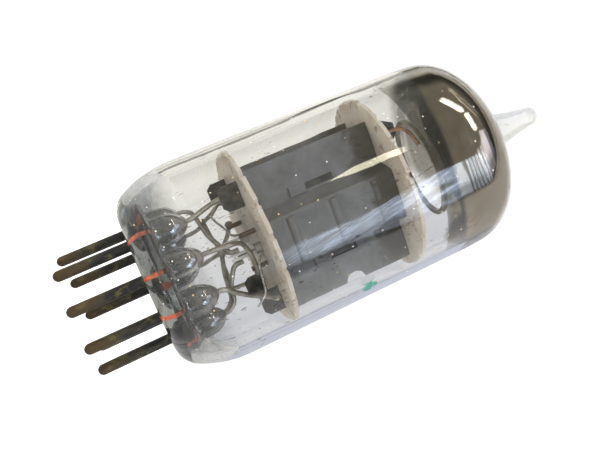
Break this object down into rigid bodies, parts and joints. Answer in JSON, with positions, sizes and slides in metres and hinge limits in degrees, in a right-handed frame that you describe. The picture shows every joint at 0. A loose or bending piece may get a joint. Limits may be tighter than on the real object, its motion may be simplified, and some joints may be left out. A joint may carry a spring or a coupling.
{
  "type": "vacuum tube",
  "caption": "Miniature glass vacuum tube with stiff base pins, two boxed electrode systems held between mica discs, a getter ring and mirror under the dome, and a drawn exhaust tip.",
  "frame": {"origin": "on the tube's axis at the underside of the glass stem, the seating plane where the base pins leave the glass", "axes": "+Z along the tube's axis towards the exhaust tip, so the pins point to -Z; +X along the anode flanges, towards pin 5, so the wide gap in the pin circle faces -X; +Y from the front triode to the rear triode"},
  "size_m": [0.0206, 0.0206, 0.0541],
  "materials": {
    "bulb_glass": "clear drawn glass, glossy",
    "stem_glass": "clear pressed glass, glossy, looks dark where it is thick",
    "pin_wire": "oxidised wire, brown, satin",
    "seal_wire": "copper-coated seal wire, red through the glass",
    "mica": "split mica, translucent, tan",
    "anode_plate": "carbonised nickel sheet, dark grey, matt",
    "grid_wire": "fine bright wire",
    "grid_rod": "drawn wire, satin",
    "cathode_nickel": "drawn nickel tube, satin",
    "oxide_coating": "sprayed oxide, white, matt",
    "heater_coating": "sprayed alumina, white, matt",
    "lead_wire": "nickel-plated wire, satin",
    "strap_wire": "fine nickel wire, bright",
    "getter_channel": "rolled sheet channel, satin",
    "getter_plate": "discoloured nickel sheet, satin",
    "getter_wire": "coppery wire, satin",
    "getter_mirror": "evaporated getter film, brownish silver"
  },
  "bodies": {
    "root": {"bulb": "bulb_glass", "exhaust_tip": "bulb_glass", "stem_button": "stem_glass", "seal_wires": "seal_wire", "lower_mica_under_sheet": "mica", "lower_mica_top_sheet": "mica", "upper_mica_under_sheet": "mica", "upper_mica_top_sheet": "mica", "anode_front_outer": "anode_plate", "anode_front_inner": "anode_plate", "anode_rear_outer": "anode_plate", "anode_rear_inner": "anode_plate", "grid_front_winding": "grid_wire", "grid_rear_winding": "grid_wire", "grid_front_rods": "grid_rod", "grid_rear_rods": "grid_rod", "cathode_front_sleeve": "cathode_nickel", "cathode_rear_sleeve": "cathode_nickel", "cathode_front_coating": "oxide_coating", "cathode_rear_coating": "oxide_coating", "heater_front": "heater_coating", "heater_rear": "heater_coating", "cathode_front_strap": "strap_wire", "cathode_rear_strap": "strap_wire", "heater_link": "strap_wire", "getter_ring": "getter_channel", "getter_tag": "getter_plate", "getter_support": "getter_wire", "getter_flash": "getter_mirror", "pin_1": "pin_wire", "lead_1": "lead_wire", "pin_2": "pin_wire", "lead_2": "lead_wire", "pin_3": "pin_wire", "lead_3": "lead_wire", "pin_4": "pin_wire", "lead_4": "lead_wire", "pin_5": "pin_wire", "lead_5": "lead_wire", "pin_6": "pin_wire", "lead_6": "lead_wire", "pin_7": "pin_wire", "lead_7": "lead_wire", "pin_8": "pin_wire", "lead_8": "lead_wire", "pin_9": "pin_wire", "lead_9": "lead_wire"}
  },
  "joints": []
}
